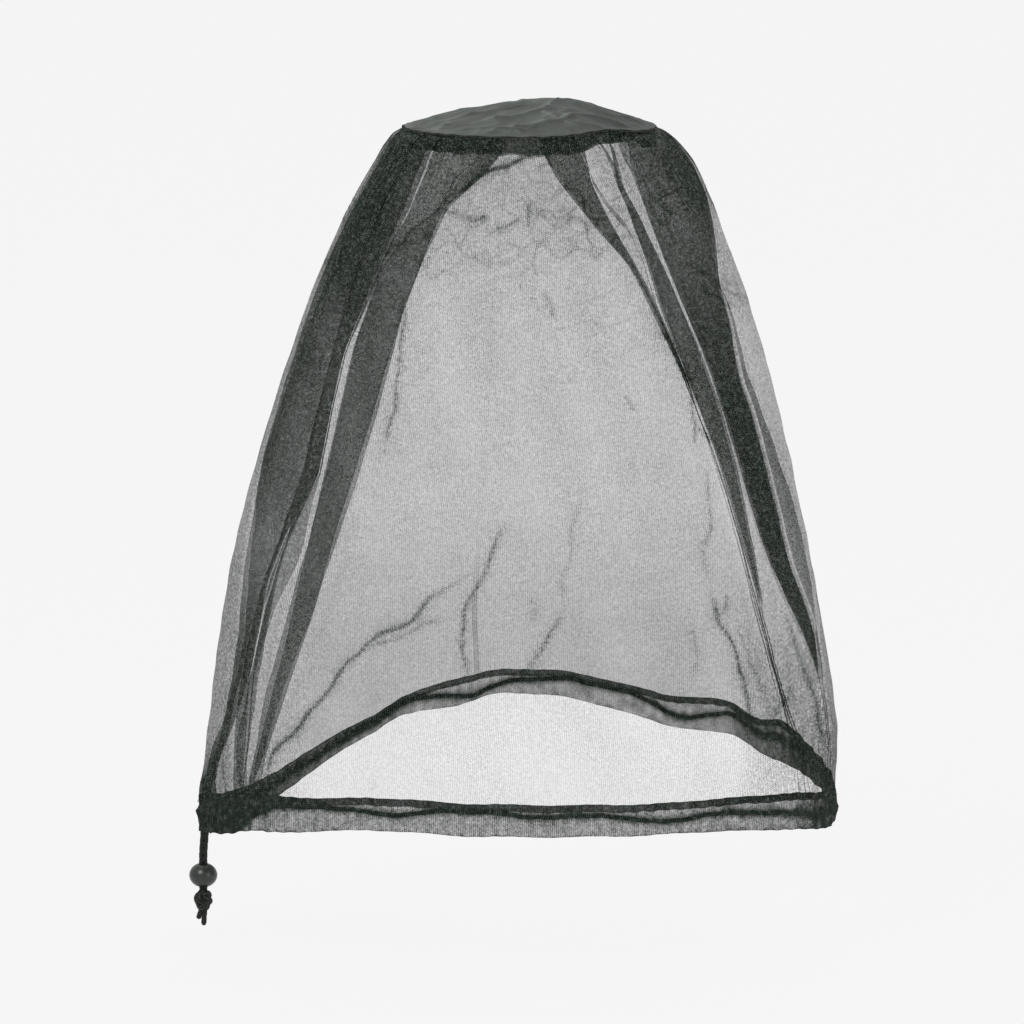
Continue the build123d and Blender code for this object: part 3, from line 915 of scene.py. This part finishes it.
def left_bunch(azimuth):
    """1 at the gathered corner where the cord leaves, 0 elsewhere."""
    side, front = -np.sin(np.radians(azimuth)), np.cos(np.radians(azimuth)) > 0
    return np.where(front, smooth(side, 0.74, 0.83), smooth(side, 0.86, 0.95))


def back_left(azimuth):
    """1 where the back of the hem fans out towards the bunch."""
    azimuth = wrap(azimuth)
    return smooth(azimuth, -150, -138) * (1 - smooth(azimuth, -122, -112))


def right_bunch(azimuth):
    """1 at the corner opposite the gathered one, 0 elsewhere."""
    return smooth(np.sin(np.radians(azimuth)), 0.84, 0.99)


def hem_sway(azimuth):
    """Outward and upward wander of the whole hem."""
    left, right = left_bunch(azimuth), right_bunch(azimuth)
    out = 1.0 * MM * sway_long(azimuth)
    out = out + (0.2 + 1.1 * left + 0.6 * right) * MM * sway_short(azimuth)
    up = 0.35 * MM * rise_long(azimuth)
    up = up + (0.12 + 0.4 * left + 0.2 * right) * MM * rise_short(azimuth)
    return out, up


def hem_place(azimuth, out=0.0, lift=0.0):
    """Point of the hem: out from the casing's mid surface, lift above its bottom edge."""
    psi = np.radians(azimuth)
    nx, ny = np.sin(psi) / HEM_HALF_WIDTH, -np.cos(psi) / HEM_HALF_DEPTH
    length = np.hypot(nx, ny)
    x, y = hem_outline(azimuth)
    sway_out, sway_up = hem_sway(azimuth)
    out = out + sway_out
    z = hem_bottom(azimuth) + lift + sway_up
    return np.stack(np.broadcast_arrays(x + out * nx / length, y + out * ny / length, z), -1)


def cord_lift(azimuth):
    """Height of the cord's middle above the casing's bottom edge."""
    return casing_height(azimuth) - cord_depth(azimuth) + 0.3 * MM * cord_short(azimuth)


def strip_height(azimuth):
    """Height of the turned edge."""
    base = np.where(np.cos(np.radians(azimuth)) > 0, 5.0, 4.4)
    return (base + 0.3 * edge_wave(azimuth)) * MM


# ------------------------------------------------------------------- the net, laid out
net = build_net()
middle_row = net[0][NET_ROWS // 2]
cuts = [int(np.abs(middle_row - place).argmin()) for place in (-180, -90, 0, 90, 180)]
net_names = ["net_back_left", "net_front_left", "net_front_right", "net_back_right"]
net_pieces = [
    net_piece(name, first, last + 1)
    for name, first, last in zip(net_names, cuts[:-1], cuts[1:])
]
for piece in net_pieces:
    dress(piece, "veil_mesh")
    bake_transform(piece)


# -------------------------------------------------------------------------- hem casing
def build_casing():
    """Flat tunnel of folded net, bulging round the cord, bunched at the corners."""
    azimuth = HEM_AZIMUTH[None, :]
    down, up = 12, 11  # rows on the outside and on the inside
    rise = np.concatenate([np.linspace(1, 0, down), np.linspace(0.02, 1, up)])
    side = np.concatenate([np.ones(down), -np.ones(up)])
    rise, side = rise[:, None], side[:, None]
    lift = casing_height(azimuth) * rise
    near_cord = np.exp(-(((lift - cord_lift(azimuth)) / (2.6 * MM)) ** 2))
    half = (0.35 + 0.6 * np.sin(np.pi * rise ** 0.7)) * MM + 1.35 * MM * near_cord
    pucker = ripples(38, 10, 9 * MM)(arc_at(azimuth), lift * side)
    gathered = left_bunch(azimuth - 18 * (rise - 0.6))
    bunch = np.maximum(gathered, 0.7 * right_bunch(azimuth))
    out = side * half + (0.25 + 0.7 * bunch) * MM * pucker * np.sin(np.pi * rise ** 0.8)
    points = hem_place(azimuth, out, lift)
    facing_front = np.cos(np.radians(azimuth)) > 0
    narrow = 1 - smooth(casing_height(azimuth), 11.5 * MM, 15 * MM)
    twist = smooth(azimuth, 106, 114) * (1 - smooth(azimuth, 134, 138))
    cover = np.where(facing_front, 0.46, 0.44) + 0.3 * bunch + 0.5 * gathered
    cover = cover + 0.12 * narrow + 0.14 * twist + 0.2 * back_left(azimuth)
    close = np.exp(-(((lift - cord_lift(azimuth)) / (2.4 * MM)) ** 2))
    cover = cover + 0.4 * close + 0.07 * pucker - 0.18 * back_left(azimuth) * close
    cover = np.clip(cover, 0.2, 1.5)
    faces = grid_faces(*points.shape[:2], wrap_rows=True, wrap_columns=True)
    return cloth_piece("casing_net", points, faces, NET, arc_at(azimuth), lift, cover)


def build_turned_edge():
    """The turned-in edge of folded net along the top of the casing."""
    azimuth = HEM_AZIMUTH[None, :]
    share = np.linspace(0, 1, 6)[:, None]
    lift = casing_height(azimuth) - strip_height(azimuth) * share
    wave = 0.25 * MM * edge_wave(azimuth + 40 * share)
    points = hem_place(azimuth, wave - 1.1 * MM, lift)
    faces = grid_faces(*points.shape[:2], wrap_columns=True)
    cover = 0.86 - 0.4 * back_left(azimuth)
    u = arc_at(azimuth)
    return cloth_piece("turned_edge_net", points, faces, FOLDED_NET, u, lift, cover)


def capsules(name, starts, ends, radius):
    """Many short stitches in one mesh."""
    sides = 6
    along = ends - starts
    length = np.linalg.norm(along, axis=1, keepdims=True)
    along = along / length
    up = np.tile([0.0, 0.0, 1.0], (len(starts), 1))
    up[np.abs(along[:, 2]) > 0.9] = (0, 1, 0)
    across = np.cross(along, up)
    across /= np.linalg.norm(across, axis=1, keepdims=True)
    up = np.cross(across, along)
    # share of the stitch's length and of its radius
    profile = [(-0.05, 0.25), (0.03, 0.8), (0.2, 1.0), (0.8, 1.0), (0.97, 0.8), (1.05, 0.25)]
    turn = 2 * math.pi * np.arange(sides) / sides
    rings = []
    for share, size in profile:
        centre = starts + along * length * share
        ring = (
            centre[:, None]
            + across[:, None] * (np.cos(turn) * radius * size)[None, :, None]
            + up[:, None] * (np.sin(turn) * radius * size)[None, :, None]
        )
        rings.append(ring)
    points = np.stack(rings, 1)
    base = grid_faces(len(profile), sides, wrap_columns=True)
    per = len(profile) * sides
    caps = np.array([range(sides - 1, -1, -1), range(per - sides, per)])
    faces = []
    for index in range(len(starts)):
        faces += [tuple(f + index * per) for f in base] + [tuple(c + index * per) for c in caps]
    return new_object(name, points.reshape(-1, 3), faces, THREAD)


BRAID_RELIEF = 0.12 * MM
BRAID_STRANDS = 4
BRAID_LAY = 5.0 * MM  # length of cord in which a strand goes once round
BRAID_MIDDLE = 0.35  # the strands' middle height


def tube(name, path, radius, sides=14):
    """A braided round cord along a dense path, with rounded ends."""
    path = np.asarray(path, float)
    along = np.gradient(path, axis=0)
    along /= np.linalg.norm(along, axis=1, keepdims=True)
    up = np.array([0.0, 0.0, 1.0]) if abs(along[0, 2]) < 0.9 else np.array([0.0, 1.0, 0.0])
    across = []
    for direction in along:
        up = up - direction * (up @ direction)
        up = up / np.linalg.norm(up)
        across.append(up.copy())
    across = np.array(across)
    other = np.cross(along, across)
    step = np.linalg.norm(np.diff(path, axis=0), axis=1)
    distance = np.concatenate([[0], np.cumsum(step)])
    turn = 2 * math.pi * np.arange(sides) / sides
    twist = 2 * math.pi * distance[:, None] / BRAID_LAY
    left = np.cos(BRAID_STRANDS * turn[None, :] + twist)
    right = np.cos(BRAID_STRANDS * turn[None, :] - twist)
    braid = np.maximum(left, right) - BRAID_MIDDLE
    from_end = np.minimum(distance, distance[-1] - distance)[:, None]
    cap = np.sqrt(np.clip(1 - (1 - np.clip(from_end / radius, 0, 1)) ** 2, 0.03, 1))
    size = (radius + BRAID_RELIEF * (braid - 0.6)) * cap
    ring = (
        path[:, None]
        + across[:, None] * (np.cos(turn)[None, :] * size)[..., None]
        + other[:, None] * (np.sin(turn)[None, :] * size)[..., None]
    )
    rows = len(path)
    faces = [tuple(f) for f in grid_faces(rows, sides, wrap_columns=True)]
    faces.append(tuple(range(sides - 1, -1, -1)))
    faces.append(tuple(range((rows - 1) * sides, rows * sides)))
    piece = new_object(name, ring.reshape(-1, 3), faces, CORD)
    add_attribute(piece, "braid", np.clip(braid + BRAID_MIDDLE, 0, 1))
    return piece


casing = build_casing()
strip = build_turned_edge()
STITCH_PITCH = 3.6 * MM
STITCH_LENGTH = 2.5 * MM


def hem_seam(along):
    """Points of the casing's seam, from lengths along the hem."""
    azimuth = np.interp(along, fine_arc, fine_azimuth)
    lift = casing_height(azimuth) - strip_height(azimuth) + 0.9 * MM
    return hem_place(azimuth, 1.0 * MM, lift)


stitch_starts = np.arange(0, HEM_LENGTH, STITCH_PITCH)
hem_stitches = capsules(
    "casing_stitches",
    hem_seam(stitch_starts),
    hem_seam(stitch_starts + STITCH_LENGTH),
    0.28 * MM,
)

# ---------------------------------------------------------------------------- drawcord
CORD_RADIUS = 1.5 * MM
CORD_PITCH = 3.1 * MM
HANDOVER_Z = CORNER_Z + 7 * MM  # inside the bunch, where the hanging runs begin


def cord_arm(side):
    """Inside the bunch, from the hanging runs round into the casing on one side."""
    points = [(EXIT_X, side * CORD_PITCH / 2, HANDOVER_Z)]
    for turn in (35, 70):
        angle = math.radians(turn)
        y = CORD_PITCH / 2 + 6 * MM * (1 - math.cos(angle))
        points.append((EXIT_X + 0.3 * MM, side * y, HANDOVER_Z + 6 * MM * math.sin(angle)))
    return points


LOOP_GAP = 8  # degrees either side of the exit that the arms bridge
loop_azimuth = np.linspace(-90 + LOOP_GAP, 270 - LOOP_GAP, 150)
loop_points = hem_place(loop_azimuth, 0.0, cord_lift(loop_azimuth))
whole_loop = np.vstack([cord_arm(-1), loop_points, cord_arm(1)[::-1]])
drawcord = tube("drawcord_braid", curve_through(whole_loop, 0.85 * MM), CORD_RADIUS, sides=12)

dress(casing, "hem_casing", "hem")
dress(strip, "hem_turned_edge", "hem")
dress(hem_stitches, "hem_stitching", "hem")
dress(drawcord, "drawcord", "hem")

# ----------------------------------------------------------------------------- pendant
BALL_Z = (ball_low.z + ball_high.z) / 2
KNOT_TOP, KNOT_BOTTOM = knot_high.z, knot_low.z
CORD_PRESSED = 1.3 * MM  # half the distance of the two runs, pressed side by side
CORD_LEAN = 1.2 * MM  # how far inward the runs start
CORD_STEP = 0.3 * MM  # between the rings of a hanging cord


def pendant_cord(side):
    """One run from the bunch through the swing centre and the ball into the knot."""
    points = []
    top, bottom = HANDOVER_Z + 1 * MM, KNOT_TOP - 2 * MM
    for share in np.linspace(0, 1, 13):
        angle = math.radians(90 * (1 - float(smooth(share, 0.0, 0.2))))
        reach = side * CORD_PRESSED
        lean = CORD_LEAN * (1 - float(smooth(share, 0.1, 0.55)))
        z = top + (bottom - top) * share
        points.append((EXIT_X + lean - reach * math.cos(angle), reach * math.sin(angle), z))
    return curve_through(points, CORD_STEP)


def knot_path(turned, wide, high, deep, middle):
    """A closed overhand-knot curve, three lobes seen from the front."""
    points = []
    for t in np.linspace(0, 2 * math.pi, 61):
        a = math.sin(t) + 2 * math.sin(2 * t)
        b = math.cos(t) - 2 * math.cos(2 * t)
        x = (a * math.cos(turned) - b * math.sin(turned)) / 3
        z = (a * math.sin(turned) + b * math.cos(turned)) / 3
        points.append((EXIT_X + wide * x, deep * math.sin(3 * t), middle + high * z))
    return curve_through(points, CORD_STEP)


def tail_path(side, length, splay):
    """A free end below the knot, on one side, splayed outwards by an angle."""
    start = np.array([EXIT_X - side * 1.7 * MM, side * 0.3 * MM, KNOT_BOTTOM + 4 * MM])
    lean = np.array([-side * math.sin(splay), 0, -math.cos(splay)])
    middle = start + np.array([0, 0, -4 * MM])
    points = [start, middle, middle + lean * length * 0.5, middle + lean * length]
    return curve_through(points, CORD_STEP)


cords = [
    tube("pendant_cord_0", pendant_cord(-1), CORD_RADIUS),
    tube("pendant_cord_1", pendant_cord(1), CORD_RADIUS),
]
KNOT_MIDDLE = (KNOT_TOP + KNOT_BOTTOM) / 2
knot_a = knot_path(0.3, 4.6 * MM, 5.9 * MM, 2.6 * MM, KNOT_MIDDLE)
knot_b = knot_path(1.4, 4.4 * MM, 5.6 * MM, 3.6 * MM, KNOT_MIDDLE)
core_path = curve_through([(EXIT_X, 0, KNOT_TOP), (EXIT_X, 0, KNOT_BOTTOM + 1.5 * MM)], 0.4 * MM)
knots = [
    tube("knot_strand_0", knot_a, 1.8 * MM),
    tube("knot_strand_1", knot_b, 1.8 * MM),
    tube("knot_core", core_path, 3.4 * MM),
]
tails = [
    tube("tail_left", tail_path(1, 5.5 * MM, math.radians(20)), 1.9 * MM),
    tube("tail_right", tail_path(-0.4, 9.5 * MM, math.radians(-9)), 1.8 * MM),
]
for piece in cords:
    dress(piece, "pendant_cords")
    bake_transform(piece)
for piece in knots:
    dress(piece, "cord_knot", "pendant")
for piece in tails:
    dress(piece, "cord_tails", "pendant")


def build_ball():
    """Flattened ball with a bore, eased mouths and a faint parting line."""
    radius = (ball_high.x - ball_low.x) / 2
    half = (ball_high.z - ball_low.z) / 2
    bore, ease = 3.25 * MM, 0.7 * MM
    axis = half + 0.9 * MM
    profile = []
    for z in np.linspace(-half, half, 44):
        r = radius * math.sqrt(max(0.0, 1 - (z / axis) ** 2))
        r += 0.10 * MM * math.exp(-((z / (0.35 * MM)) ** 2))
        profile.append((r, z))
    mouth = [
        (bore + ease - ease * math.sin(turn), half - ease + ease * math.cos(turn))
        for turn in np.linspace(0, math.pi / 2, 5)
    ]
    profile += mouth + [(r, -z) for r, z in mouth[::-1]]
    profile = np.array(profile)
    sides = 72
    turn = 2 * math.pi * np.arange(sides) / sides
    points = np.stack(
        np.broadcast_arrays(
            EXIT_X + profile[:, :1] * np.cos(turn),
            profile[:, :1] * np.sin(turn),
            BALL_Z + profile[:, 1:] + 0 * turn,
        ),
        -1,
    )
    faces = grid_faces(len(profile), sides, wrap_rows=True, wrap_columns=True)
    return new_object("moulded_ball", points.reshape(-1, 3), faces, BALL)


dress(build_ball(), "cord_ball", "ball")

# ------------------------------------------------------------------------------- crown
CROWN_PEAK = np.array([18, 4]) * MM
# Raised folds: height and width in mm, then the fold's run on the crown as (x, y) in mm.
CROWN_FOLDS = [
    (1.9, 4.0, [(-66, -34), (-42, -44), (-18, -40), (6, -30), (18, 4)]),
    (1.6, 3.2, [(18, 4), (2, 26), (-22, 44)]),
    (1.8, 3.6, [(-10, -64), (14, -56), (34, -40), (66, -38)]),
    (1.5, 3.0, [(18, 4), (40, -8), (72, -14)]),
    (1.4, 3.0, [(-74, -6), (-46, -14), (-16, -12), (18, 4)]),
    (1.2, 2.6, [(-52, -56), (-30, -62), (-6, -70)]),
    (1.2, 2.6, [(6, -30), (22, -54), (44, -62)]),
    (1.6, 3.6, [(-60, 30), (-28, 22), (18, 4)]),
    (1.4, 3.2, [(18, 4), (40, 26), (56, 50)]),
    (1.2, 3.2, [(-24, 62), (4, 50), (28, 60)]),
]


def fold_field(x, y):
    """Ridge heights on the crown, in metres, and how near a ridge each point is."""
    height, near = np.zeros_like(x), np.zeros_like(x)
    for rise, width, points in CROWN_FOLDS:
        path = curve_through([(a * MM, b * MM, 0) for a, b in points], 1.5 * MM)
        for a, b, _ in path:
            far = np.hypot(x - a, y - b) / (width * MM)
            height = np.maximum(height, rise * MM * np.exp(-(far ** 1.4)))
            near = np.maximum(near, np.exp(-((1.6 * far) ** 2)))
    return height, near


def crown_shape(x, y):
    """Height of the crown at points of its disc, and the painted light on its cloth there: paler
    along the fold ridges and on broad rises.
    """
    reach = np.hypot(x, y) / CROWN_RADIUS
    turn = np.arctan2(y, x)
    azimuth = np.degrees(np.arctan2(x, -y))
    dx, dy = x - CROWN_PEAK[0], y - CROWN_PEAK[1]
    square = dx * dx + dy * dy + 1e-12
    along = CROWN_PEAK[0] * dx + CROWN_PEAK[1] * dy
    room = CROWN_RADIUS ** 2 - CROWN_PEAK @ CROWN_PEAK
    share = square / (np.sqrt(along ** 2 + square * room) - along)
    dome = (CROWN_RISE - 5.0 * MM) * (1 - np.clip(share, 0, 1) ** 1.75) + 1.6 * MM
    rim_fade = smooth(1 - reach, 0.0, 0.12)
    folds, near = fold_field(x, y)
    broad = ripples(42, 7, 70 * MM)(x, y)
    facets = np.abs(ripples(43, 7, 44 * MM)(x, y))
    small = np.abs(ripples(45, 9, 22 * MM)(x, y))
    z = dome + rim_fade * (folds + 0.7 * MM * broad - 1.5 * MM * facets - 0.35 * MM * small)
    z = z + rim_lift(azimuth) * smooth(reach, 0.35, 1)
    z = z + 0.2 * MM * np.sin(34 * turn + 2 * np.sin(5 * turn)) * smooth(reach, 0.9, 0.99)
    # painted highlights along the fold ridges and facet ridges, and on the broad rises
    ridge = np.exp(-((facets / 0.07) ** 2)) + 0.6 * np.exp(-((small / 0.09) ** 2))
    crown_painted_light = 0.25 * near + 0.3 * ridge + 0.12 * broad - 0.18
    return z, crown_painted_light


def build_crown():
    """The creased disc of woven cloth, paler on the slopes that face the key light."""
    rings, spokes = 120, 400
    reach = np.linspace(0.01, 1, rings)[:, None] ** 0.9
    turn = (2 * math.pi * np.arange(spokes) / spokes)[None, :]
    x, y = CROWN_RADIUS * reach * np.cos(turn), CROWN_RADIUS * reach * np.sin(turn)
    z, crown_painted_light = crown_shape(x, y)
    step = 1 * MM
    inner_x, inner_y = 0.98 * x, 0.98 * y
    rise_x = crown_shape(inner_x + step, inner_y)[0] - crown_shape(inner_x - step, inner_y)[0]
    slope = np.clip(rise_x / (2 * step), -0.5, 0.5)
    points = np.stack([x, y, z], -1)
    faces = [tuple(f) for f in grid_faces(rings, spokes, wrap_columns=True)]
    faces.append(tuple(range(spokes)))
    piece = new_object("crown_cloth_panel", points.reshape(-1, 3), faces, CROWN_CLOTH)
    # painted light from crown_shape, plus painted shading by slope towards the key light
    add_attribute(piece, "crease", crown_painted_light + 3.2 * slope)
    thick = piece.modifiers.new("cloth_thickness", "SOLIDIFY")
    thick.thickness = 0.7 * MM
    thick.offset = -1
    return piece


def crown_band():
    """Raw edges of net and crown cloth turned down inside the seam, two layers."""
    columns, rows = 420, 8
    turn = np.linspace(0, 2 * math.pi, columns, endpoint=False)[None, :]
    azimuth = np.degrees(turn)
    rag = waves(44, 9, 4, 40)
    share = np.linspace(0, 1, rows)[:, None]
    pieces = []
    faces = grid_faces(rows, columns, wrap_columns=True)
    for index, (radius, depth) in enumerate(((80.0, 9.6), (79.2, 8.6))):
        short = 6.0 * smooth(azimuth, 20, 34) * (1 - smooth(azimuth, 52, 66))
        bottom = -(depth - short + 0.45 * rag(turn + index * 1.3)) * MM
        top = 2.2 * MM + rim_lift(azimuth)
        z = top + (bottom - top) * share
        flutter = 0.3 * MM * np.sin(46 * turn + 3 * np.sin(7 * turn) + index) * share
        r = radius * MM + flutter + 1.5 * MM * share
        points = np.stack(np.broadcast_arrays(r * np.sin(turn), -r * np.cos(turn), z), -1)
        name = f"seam_allowance_{index}"
        u, cover = turn * 79 * MM, 0.76 + 0.05 * rag(turn * 2)
        pieces.append(cloth_piece(name, points, faces, FOLDED_NET, u, z, cover))
    return pieces


STITCH_COUNT = 150
STITCH_TURN = 4.6 / STITCH_COUNT  # angle that a stitch covers, the rest is gap
turn = 2 * math.pi * np.arange(STITCH_COUNT) / STITCH_COUNT


def crown_ring(angle):
    """Points of the crown's seam."""
    radius = CROWN_RADIUS + 0.75 * MM
    z = 1.3 * MM + rim_lift(np.degrees(angle))
    return np.stack([radius * np.sin(angle), -radius * np.cos(angle), z], -1)


dress(build_crown(), "crown_panel", "crown")
for piece in crown_band():
    dress(piece, "crown_seam_allowance", "crown")
crown_stitches = capsules(
    "crown_stitches", crown_ring(turn), crown_ring(turn + STITCH_TURN), 0.3 * MM
)
dress(crown_stitches, "crown_stitching", "crown")


# ------------------------------------------------------------------------ closing seam
SEAM_AZIMUTH = -171.0


def build_closing_seam():
    """Overlocked edges of the net, a narrow strip down the inside of the back."""
    rows = 260
    share = np.linspace(0, 1, rows)[:, None]
    azimuth = SEAM_AZIMUTH + 0 * share
    top = -14 * MM
    bottom = hem_bottom(SEAM_AZIMUTH) + casing_height(SEAM_AZIMUTH) - 2 * MM
    z = top + (bottom - top) * share
    sway = waves(51, 5, 2, 9)
    half = 1.7 * MM
    across = np.linspace(-1, 1, 5)[None, :]
    centre = bell_point(azimuth, z, -3.6 * MM)
    x = centre[..., 0] + across * half + 0.7 * MM * sway(z * 10)
    y = centre[..., 1] + 0.3 * MM * np.sin(z / (2.2 * MM)) + 0 * across
    points = np.stack(np.broadcast_arrays(x, y, z), -1)
    bold = 0.05 + 0.30 * smooth(-z, 290 * MM, 330 * MM)  # it shows most near the hem
    cover = bold * (0.6 + 0.7 * np.abs(across) ** 2)
    faces = grid_faces(rows, 5)
    return cloth_piece("overlocked_seam", points, faces, FOLDED_NET, x, z, cover)


closing = build_closing_seam()
dress(closing, "closing_seam")
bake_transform(closing)

# ------------------------------------------------------------------- studio and camera
scene = bpy.context.scene
FLOOR_GLOW = 0.890175
SKY_GLOW = 0.75


def backdrop_material():
    """White paper that glows almost by itself, so that shadows on it stay faint."""
    n = Nodes("paper_floor")
    place = n.place()
    grain = n.noise(place, 40.0, 2.0)
    color = n.ramp(grain, [(0.0, (0.995, 0.995, 0.995)), (1.0, (1.0, 1.0, 1.0))])
    glow = n.add("ShaderNodeEmission", {"Color": color, "Strength": FLOOR_GLOW}).outputs[0]
    paper = n.add("ShaderNodeBsdfDiffuse", {"Color": (0.025, 0.025, 0.025, 1)}).outputs[0]
    return n.output(n.add("ShaderNodeAddShader", {0: glow, 1: paper}).outputs[0])


FLOOR_Z = tails_low.z - 8 * MM
floor = new_object(
    "floor",
    [(-6, -4, FLOOR_Z), (6, -4, FLOOR_Z), (6, 14, FLOOR_Z), (-6, 14, FLOOR_Z)],
    [(0, 1, 2, 3)],
    backdrop_material(),
    smooth_shade=False,
)

world = bpy.data.worlds.new("studio")
world.use_nodes = True
sky = world.node_tree.nodes["Background"].inputs
sky["Color"].default_value = (1, 1, 1, 1)
sky["Strength"].default_value = SKY_GLOW
scene.world = world


def soft_light(name, place, size, power):
    light = bpy.data.lights.new(name, "AREA")
    light.shape = "DISK"
    light.size = size
    light.energy = power
    lamp = bpy.data.objects.new(name, light)
    scene.collection.objects.link(lamp)
    lamp.location = place
    aim = np.array([0, 0, -0.25]) - np.array(place)
    lamp.rotation_euler = Vector(aim).to_track_quat("-Z", "Y").to_euler()
    return lamp


lamps = [
    soft_light("key", (-1.6, -2.4, 2.2), 1.8, 60),
    soft_light("fill", (2.2, -2.2, 0.8), 2.0, 22),
    soft_light("top", (0.2, 0.8, 2.6), 2.0, 30),
]

CAMERA_ELEVATION = math.radians(8)
CAMERA_DISTANCE = 5.0
CAMERA_AIM = Vector((-0.0117, 0, -0.2497))
VIEW_WIDTH = 665.6 * MM
SENSOR = 36
camera_data = bpy.data.cameras.new("camera")
camera_data.sensor_width = SENSOR
camera_data.lens = SENSOR * CAMERA_DISTANCE / VIEW_WIDTH
camera_data.clip_end = 50
camera = bpy.data.objects.new("camera", camera_data)
scene.collection.objects.link(camera)
offset = Vector((0, -math.cos(CAMERA_ELEVATION), math.sin(CAMERA_ELEVATION))) * CAMERA_DISTANCE
camera.location = CAMERA_AIM + offset
camera.rotation_euler = (-offset).to_track_quat("-Z", "Y").to_euler()
scene.camera = camera

scene.view_settings.view_transform = "Standard"
scene.view_settings.look = "None"
scene.cycles.transparent_max_bounces = 48
scene.cycles.max_bounces = 8
